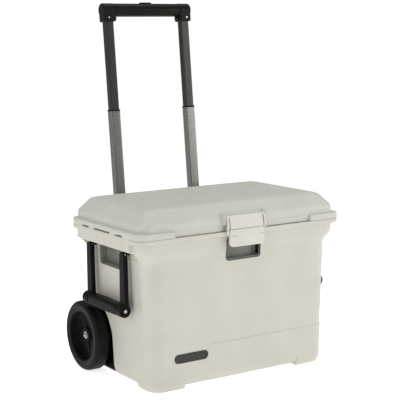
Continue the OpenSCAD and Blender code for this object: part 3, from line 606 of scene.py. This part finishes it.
def make_lid_panel():
    stations = [
        (305.7, -183.7, 183.7, 30.7, 407, 0),
        (305.7, -183.7, 183.7, 30.7, 404, 0.8),
        (255, -147, 147, 20, 404, 2),
        (254.5, -146.5, 146.5, 20, 390, 6),
        (240, -132, 132, 16, 390, 3),
        (234, -126, 126, 14, 393.5, 3),
        (200, -92, 92, 12, 393.5, 0),
    ]
    return body_loft("lid_lining", stations)


fit(make_lid_panel(), liner_hips, "lid", "liner", "lid_inner_panel")


# ---------- latch ----------

def curve(points, steps=6):
    """A smooth closed outline through given points."""
    n = len(points)
    out = []
    for i in range(n):
        a, b, c, d = (points[(i + k - 1) % n] for k in range(4))
        for s in range(steps):
            t = s / steps
            out.append(tuple(0.5 * (2 * b[k] + (c[k] - a[k]) * t
                                    + (2 * a[k] - 5 * b[k] + 4 * c[k] - d[k]) * t * t
                                    + (3 * b[k] - a[k] - 3 * c[k] + d[k]) * t ** 3) for k in (0, 1)))
    return out


def make_link():
    """A panel and two wavy side arms, joined by the bar that turns on the top pin."""
    panel = [(-196.8, 440), (-195.4, 443.8), (-192.5, 444.8), (-189.8, 443.2), (-189.2, 440),
             (-190.6, 432), (-194, 424), (-195.8, 416), (-196, 411), (-197, 410), (-199.4, 409.8),
             (-202, 410.4), (-202.6, 413), (-202, 419), (-199.8, 427), (-197.4, 435)]
    rail = [(-197.4, 441), (-195.6, 446), (-192, 446.8), (-188.4, 445), (-187.8, 440), (-189.8, 433.5),
            (-194.6, 427), (-196.8, 420), (-195.4, 411), (-194.8, 405), (-196.4, 396), (-199.4, 393.4),
            (-202, 396), (-201.6, 402), (-200.4, 408), (-202.6, 417), (-202.6, 424), (-199.6, 432)]
    link = round_edges(prism("latch_panel", curve(panel), -51.8, 51.8, across), 1.0, 3, 50)
    bar = rod("bar", 3.4, (-59, 59), (0, -192.5, 441), edge=0.4)
    sides = [round_edges(prism("rail", curve(rail), *sorted((s * 55.4, s * 61)), across), 1.4, 3, 50)
             for s in (-1, 1)]
    return combine(link, [bar] + sides, "UNION")


def make_lever():
    plate = prism("latch_pull", round_outline(-54, 54, 363, 403, 11), -203, -196, along)
    square = [prism("top", [(s * 54, 380), (s * 54, 403), (s * 36, 403), (s * 36, 380)], -203, -196, along)
              for s in (-1, 1)]
    combine(plate, square, "UNION")
    round_edges(plate, 1.5, 4, 50)
    knuckle = rod("knuckle", 3.2, (-53.6, 53.6), (0, -199.5, 406), edge=0.4)
    web = box("web", -53.4, 53.4, -202.5, -196.5, 400, 406)
    combine(plate, [web, knuckle], "UNION")
    notch = [box("notch", *sorted((s * 34, s * 50.4)), -204, -201.4, 390.6, 393) for s in (-1, 1)]
    return combine(plate, notch)


def make_cheeks():
    side = [(-180, 420.8), (-190, 420.8), (-196, 423), (-197.6, 428), (-194.8, 433), (-197.4, 440),
            (-196.4, 446), (-190, 449.5), (-180, 450)]
    left = None
    for s in (-1, 1):
        cheek = prism("latch_cheeks", curve(side, 5), *sorted((s * 62.4, s * 65.8)), across)
        round_edges(cheek, 1.0, 2, 50)
        left = cheek if left is None else combine(left, [cheek], "UNION")
    return left


fit(make_link(), latch_pp, "latch_link_body", "shell", "latch_link")
fit(make_lever(), latch_pp, "latch_lever_body", "shell", "latch_lever")
fit(make_cheeks(), lid_hdpe, "lid", "lid_skin", "latch_mount")


# ---------- carry handles ----------

def make_arm():
    """The right rear arm; the others are its mirrors."""
    low, top = 29 / 2, 24 / 2
    outline = [(91 - low, 205), (91 + low, 205), (91 + top + 0.6, 350), (91 + top - 3, 361),
               (91 + 3, 364), (91 - 5, 364), (91 - top, 357)]
    arm = prism("arm", outline, 302, 315, across)
    round_edges(arm, 2.6, 4)
    disc = rod("disc", 17, (76.5, 105.5), (GRIP_X, 0, GRIP_Z), axis="y", edge=2.2)
    combine(arm, [disc], "UNION")
    combine(arm, [box("lug_gap", 296, 313.7, 91 - 4.9, 91 + 4.9, 353, 370),
                  rod("screw_seat", 5.2, (104.3, 110), (GRIP_X, 0, GRIP_Z), axis="y")])
    return arm


def make_grip():
    rings = []
    for y, grow in ((-76.4, -1.4), (-75, -0.2), (-73, 0), (-40, 0.5), (0, 0.8), (40, 0.5), (73, 0),
                    (75, -0.2), (76.4, -1.4)):
        ring = corner_ring(15.2 + grow, GRIP_Z - 15 - grow, GRIP_Z + 15 + grow, 9, 0, 8)
        rings.append([(x + GRIP_X, y, z) for x, z, _ in ring])
    return loft("grip", rings)


arm_mesh = make_arm()
grip_mesh = make_grip()
for side, label in ((-1, "left"), (1, "right")):
    for end, place in ((-1, "front"), (1, "rear")):
        name = label + "_" + place + "_arm_bar"
        arm = mirrored(arm_mesh, name)
        if side > 0:
            back_again = mirrored(arm, name + "_x")
            bpy.data.objects.remove(arm)
            arm = back_again
        if end < 0:
            turned_arm = mirrored(arm, name + "_y", "y")
            bpy.data.objects.remove(arm)
            arm = turned_arm
        arm.name = name
        fit(arm, handle_nylon, label + "_handle", "handle_black", label + "_" + place + "_arm")
    grip = mirrored(grip_mesh, label + "_carry_grip")
    if side > 0:
        other = mirrored(grip, label + "_carry_grip_x")
        bpy.data.objects.remove(grip)
        grip = other
        grip.name = label + "_carry_grip"
    fit(grip, handle_nylon, label + "_handle", "handle_black", label + "_grip")
bpy.data.objects.remove(arm_mesh)
bpy.data.objects.remove(grip_mesh)


# ---------- pull handle ----------

def make_tube(name, x, width, depth, wall, low, high, radius):
    outer = [corner_ring(width / 2, -depth / 2, depth / 2, radius, s, 5) for s in (low, high)]
    inner = [corner_ring(width / 2 - wall, -depth / 2 + wall, depth / 2 - wall, radius - wall / 2, s, 5)
             for s in (high, low)]
    rings = [beside(x, ring) for ring in outer + inner]
    n = len(rings[0])
    points = [p for ring in rings for p in ring]
    faces = []
    for k in range(4):
        m = (k + 1) % 4
        for i in range(n):
            j = (i + 1) % n
            faces.append((k * n + i, k * n + j, m * n + j, m * n + i))
    return on_mast(solid(name, points, faces))


def make_sleeve(name, x, width, depth, low, high, radius, hole_w, hole_d):
    sleeve = loft(name, [beside(x, corner_ring(*s, steps=6)) for s in soften([
        (width / 2 - 0.8, -depth / 2 + 0.8, depth / 2 - 0.8, radius, low, 0),
        (width / 2, -depth / 2, depth / 2, radius, low + 0.8, 0),
        (width / 2, -depth / 2, depth / 2, radius, high - 1, 0),
        (width / 2 - 1, -depth / 2 + 1, depth / 2 - 1, radius, high, 0)])])
    hole = loft("hole", [beside(x, corner_ring(hole_w / 2, -hole_d / 2, hole_d / 2, 2.6, s, 5))
                         for s in (low - 5, high + 5)])
    return on_mast(combine(sleeve, [hole]))


# Lower tubes take the lit copy and upper tubes the shaded copy of one finish: painted reflection and painted
# shade.
for side, label in ((-1, "left"), (1, "right")):
    fit(make_tube(label + "_lower_leg", side * LEG_X, 30, 24, 1.2, 337, 697, 3.6), tube_lit_copy, "lower_stage",
        "tube", label + "_lower_tube")
    fit(make_tube(label + "_upper_leg", side * LEG_X, 26.8, 20.8, 1.2, 641, 981, 3.0), tube_shaded_copy,
        "upper_stage", "tube", label + "_upper_tube")
    fit(make_sleeve(label + "_leg_collar", side * LEG_X, 31.6, 25.6, 697, 702, 4, 27.4, 21.4), grip_abs,
        "lower_stage", "charcoal", label + "_tube_collar")


def make_bar():
    bar = turned("pull_bar", [(14.9, -106.2), (18.4, -106.2), (19, -105), (19, 105), (18.4, 106.2),
                              (14.9, 106.2)], (0, 0, BAR_S), 72)
    slot = loft("slot", [corner_ring(20, -7, 7, 6.9, s, 8) for s in (990, 1010)])
    return on_mast(combine(bar, [slot]))


def make_end_cap(name, side):
    x = side * LEG_X
    head = rod(name, 19.6, (x - 19.4, x + 19.4), (0, 0, BAR_S), edge=4)
    skirt = loft("skirt", [beside(x, corner_ring(*s, steps=6)) for s in soften([
        (17.6, -16.2, 16.2, 4, 952, 0), (18.9, -17.7, 17.7, 5, 953.5, 0), (19, -18, 18, 5, 984, 0)])])
    combine(head, [skirt], "UNION")
    tab = [(x - side * 17, 956), (x - side * 25, 957), (x - side * 26, 962), (x - side * 24, 966),
           (x - side * 17, 967)]
    tab_mesh = round_edges(prism("tab", tab, -7, 7, along), 1.5)
    combine(head, [tab_mesh], "UNION")
    seat = rod("seat", 3.1, (-25, -17), (x + side * 4, 0, 963), axis="y")
    hole = loft("hole", [beside(x, corner_ring(13.5, -10.5, 10.5, 2.6, s, 5)) for s in (940, 975)])
    combine(head, [seat, hole])
    return on_mast(head)


fit(make_bar(), grip_abs, "upper_stage", "charcoal", "pull_grip")
for side, label in ((-1, "left"), (1, "right")):
    fit(make_end_cap(label + "_end_block", side), grip_abs, "upper_stage", "charcoal", label + "_end_cap")


def make_button():
    key = loft("thumb_button", [corner_ring(*s, steps=8) for s in soften([
        (19.6, -6.6, 6.6, 6.4, 999, 0), (19.6, -6.6, 6.6, 6.4, 1005.6, 1.6), (18, -5, 5, 4.9, 1007, 1.2),
        (12, -1.5, 1.5, 1.4, 1007, 0)])])
    return on_mast(key)


fit(make_button(), handle_nylon, "button", "charcoal", "release_button")


# ---------- mast housing ----------

def make_housing():
    def ring(half, low, high, radius, depth):
        return [(x, depth, z) for x, z, _ in corner_ring(half, low, high, radius, 0, 8)]
    stations = [
        (148, 30, 394, 16, -40, 0), (148, 30, 394, 16, 10, 6), (141, 37, 387, 12, 17, 3),
        (98, 62, 362, 14, 17, 2), (95, 65, 359, 12, 11, 2), (60, 100, 324, 10, 11, 0)]
    housing = loft("mast_cover", [ring(*s) for s in soften(stations)])
    ribs = []
    for z in (120, 166, 212, 258, 304):
        rib = box("rib", -80, 80, 8, 14, z - 3, z + 3)
        round_edges(rib, 1.6, 2)
        ribs.append(rib)
    combine(housing, ribs, "UNION")
    holes = [loft("leg_hole", [beside(s * LEG_X, corner_ring(17.1, -14.1, 14.1, 3, z, 5))
                               for z in (36, 430)]) for s in (-1, 1)]
    combine(housing, holes)
    return on_mast(housing)


fit(make_housing(), grip_abs, "base", "charcoal", "mast_housing")


# ---------- wheels ----------

def make_wheel(side):
    """Tyre and hub profiles: radius against place across the wheel, with +h facing out."""
    turns = [math.radians(a) for a in range(0, 91, 15)]
    tyre = [(68, -20.4), (73, -23.2)]
    tyre += [(84 + 12 * math.sin(a), -11.5 - 12 * math.cos(a)) for a in turns]
    tyre += [(96, -4), (96, 4)]
    tyre += [(84 + 12 * math.cos(a), 11.5 + 12 * math.sin(a)) for a in turns]
    tyre += [(79, 23.2), (77, 22), (75.4, 21.8), (73.6, 22.6), (71, 22.2), (69, 21), (68, 19.6)]
    hub = [(6.05, -22.4), (20, -22.4), (22, -5), (60, -5), (63, -20.4), (68, -20.4), (68, 19.2), (66, 18.2),
           (64, 14.5), (61.5, 10), (57, 6.4), (49, 4), (47.6, 4.8), (46, 4.6), (45, 3.2), (34, 1.6),
           (26, 1.2), (23, 2.4), (21, 5.8), (19.4, 7.2), (12, 7.4), (6.05, 7.4)]
    centre = (side * 302.5, WHEEL_Y, WHEEL_R)
    return (turned("tyre", [(r, side * h) for r, h in tyre], centre, 128),
            turned("hub", [(r, side * h) for r, h in hub], centre, 96), centre)


for side, label in ((-1, "left"), (1, "right")):
    tyre, hub, centre = make_wheel(side)
    tyre.name, hub.name = label + "_tyre_ring", label + "_hub_disc"
    spokes = []
    for k in range(6):
        a = math.radians(60 * k + 15)
        outline = [(18, -4.2), (62, -3), (62, 3), (18, 4.2)]
        turned_outline = [(centre[1] + u * math.cos(a) - v * math.sin(a),
                           centre[2] + u * math.sin(a) + v * math.cos(a)) for u, v in outline]
        rib = prism("spoke", turned_outline, *sorted((centre[0] - side * 2, centre[0] + side * 3.4)), across)
        round_edges(rib, 1.2, 2)
        spokes.append(rib)
    combine(hub, spokes, "UNION")
    fit(tyre, tyre_pe, label + "_wheel", "tyre", label + "_tyre")
    fit(hub, hub_pp, label + "_wheel", "hub_black", label + "_hub")
    nut = [(0.01, 7.9), (0.01, 13.4), (3, 13.1), (4.6, 12.2), (5.4, 10.4), (5.8, 8.8), (9.6, 8.5),
           (10, 7.9)]
    cap = turned(label + "_axle_nut", [(r, side * h) for r, h in nut], centre, 48)
    fit(cap, pin_zinc, "base", "steel", label + "_axle_cap")


# ---------- nodes that keep their CAD shape ----------

KEPT = {
    body_hdpe: ["hinge_brackets"],
    pu_foam: ["body_foam", "lid_foam"],
    seal_epdm: ["lid_gasket"],
    plate_pc: ["name_plate"],
    handle_nylon: ["left_pivot_lugs", "right_pivot_lugs"],
    grip_abs: ["left_socket", "right_socket", "drain_fitting", "drain_cap"],
    hub_pp: ["left_carrier", "right_carrier"],
    pin_zinc: ["hinge_pins", "latch_top_pin", "latch_middle_pin", "left_pivot_pins", "right_pivot_pins",
               "left_grip_screws", "right_grip_screws", "end_cap_screws", "left_axle", "right_axle"],
}
for material, names in KEPT.items():
    for name in names:
        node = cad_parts[name]
        for place in node.material_slots:
            place.material = material


# ---------- floor, light and camera ----------

FLOOR_LIGHT = 0.5
FLOOR_SEEN = 0.78
ROOM_LIGHT = 0.33
ROOM_SEEN = 1.05
SENSOR_MM = 36
LENS_MM = 1115 / 400 * SENSOR_MM
CAMERA_AWAY = 3066.35


def make_floor():
    half = 40.0
    mesh = bpy.data.meshes.new("studio_floor")
    corners = [(-half, -half, 0), (half, -half, 0), (half, half, 0), (-half, half, 0)]
    mesh.from_pydata(corners, [], [(0, 1, 2, 3)])
    floor = bpy.data.objects.new("studio_floor", mesh)
    scene.collection.objects.link(floor)
    paint = moulded("painted_floor_white", "#e9e9e8", "#e6e6e5", 0.9, grit_mm=3.0, mottle_mm=600)
    glow = paint.node_tree.nodes["Principled BSDF"]
    glow.inputs["Specular IOR Level"].default_value = 0.1
    glow.inputs["Emission Color"].default_value = (1, 1, 1, 1)
    rays = add(paint.node_tree, "ShaderNodeLightPath", {})
    strength = add(paint.node_tree, "ShaderNodeMapRange", {"To Min": FLOOR_LIGHT, "To Max": FLOOR_SEEN},
                   [("Value", rays.outputs["Is Camera Ray"])])
    paint.node_tree.links.new(strength.outputs["Result"], glow.inputs["Emission Strength"])
    floor.data.materials.append(paint)


def soft_light(name, place, aim, size, power, colour="#ffffff"):
    lamp = bpy.data.lights.new(name, "AREA")
    lamp.shape = "RECTANGLE"
    lamp.size, lamp.size_y = size
    lamp.energy = power
    lamp.color = linear(colour)[:3]
    holder = bpy.data.objects.new(name, lamp)
    holder.location = place
    holder.rotation_euler = (Vector(aim) - Vector(place)).to_track_quat("-Z", "Y").to_euler()
    scene.collection.objects.link(holder)


def set_world():
    world = bpy.data.worlds.new("studio")
    world.use_nodes = True
    tree = world.node_tree
    back = tree.nodes["Background"]
    back.inputs["Color"].default_value = (1, 1, 1, 1)
    rays = add(tree, "ShaderNodeLightPath", {})
    strength = add(tree, "ShaderNodeMapRange", {"To Min": ROOM_LIGHT, "To Max": ROOM_SEEN},
                   [("Value", rays.outputs["Is Camera Ray"])])
    tree.links.new(strength.outputs["Result"], back.inputs["Strength"])
    scene.world = world


def set_camera():
    azimuth, height, roll = (math.radians(a) for a in (-32.62, 8.45, -0.69))
    target = Vector((-11.43 * MM, 7.32 * MM + MIDDLE_Y, 458.7 * MM))
    back = Vector((math.sin(azimuth) * math.cos(height), -math.cos(azimuth) * math.cos(height),
                   math.sin(height)))
    right = (-back).cross(Vector((0, 0, 1))).normalized()
    up = right.cross(-back)
    right, up = (right * math.cos(roll) + up * math.sin(roll),
                 up * math.cos(roll) - right * math.sin(roll))
    lens = bpy.data.cameras.new("view")
    lens.sensor_width = SENSOR_MM
    lens.lens = LENS_MM
    lens.clip_end = 200
    camera = bpy.data.objects.new("view", lens)
    turn = Matrix((right, up, back)).transposed().to_4x4()
    camera.matrix_world = Matrix.Translation(target + back * CAMERA_AWAY * MM) @ turn
    scene.collection.objects.link(camera)
    scene.camera = camera


make_floor()
soft_light("front_box", (2.5, -2.1, 1.3), (0.1, 0, 0.3), (1.6, 1.6), 33)
soft_light("top_box", (0.2, 0.3, 3.0), (0, 0, 0.4), (2.2, 2.2), 30)
soft_light("side_box", (-3.0, -1.1, 1.4), (0, 0, 0.2), (1.6, 1.6), 23)
set_world()
set_camera()
scene.view_settings.view_transform = "Standard"
